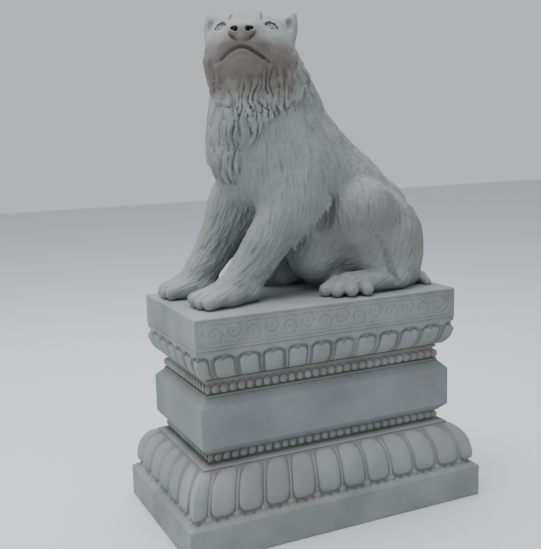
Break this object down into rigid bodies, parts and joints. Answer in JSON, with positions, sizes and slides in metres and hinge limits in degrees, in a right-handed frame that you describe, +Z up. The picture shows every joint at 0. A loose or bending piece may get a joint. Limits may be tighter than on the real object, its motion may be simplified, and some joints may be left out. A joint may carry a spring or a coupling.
{
  "type": "stone dog statue on a pedestal",
  "caption": "Seated long-maned dog carved in pale stone, on a stepped lotus pedestal with bead bands and a plain waist.",
  "frame": {"origin": "middle of the plinth's underside, on the ground", "axes": "+Z up, -Y the way the dog's body faces, +X towards its left flank"},
  "size_m": [0.754, 1.334, 2.0618],
  "materials": {
    "carved_stone": "chiselled, matt",
    "waist_stone": "sawn, matt"
  },
  "bodies": {
    "root": {"dog_with_slab": "carved_stone", "upper_lotus_course": "carved_stone", "waist_block": "waist_stone", "lower_lotus_course": "carved_stone"}
  },
  "joints": []
}
